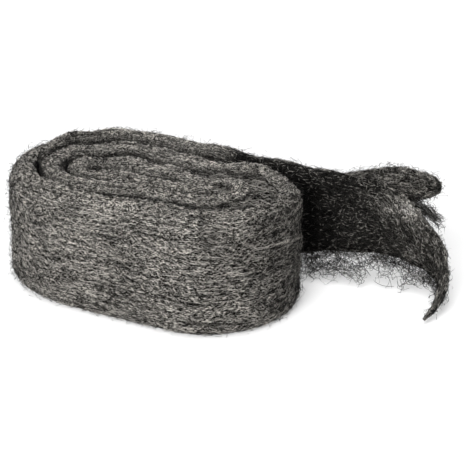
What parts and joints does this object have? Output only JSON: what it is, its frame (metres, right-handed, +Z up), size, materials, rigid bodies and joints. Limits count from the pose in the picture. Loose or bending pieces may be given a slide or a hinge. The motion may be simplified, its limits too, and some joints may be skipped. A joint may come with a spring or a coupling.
{
  "type": "steel wool bundle",
  "caption": "Ribbon of matted steel fibre wound into an oval roll that stands on its edge, with a torn tail that parts into two locks; for scouring, rubbing down and packing gaps.",
  "frame": {"origin": "on the floor, under the middle of the bundle's length and depth, tail included", "axes": "+X runs along the roll's long axis towards the tail, -Y is the front, which is the side the tail's lower lock curls towards, and +Z is up, along the ribbon's width"},
  "size_m": [0.2616, 0.1216, 0.0738],
  "materials": {
    "steel_wool": "matted fine steel fibre, dark grey with bright glints along the winding"
  },
  "bodies": {
    "root": {"steel_wool_roll": "steel_wool"}
  },
  "joints": []
}
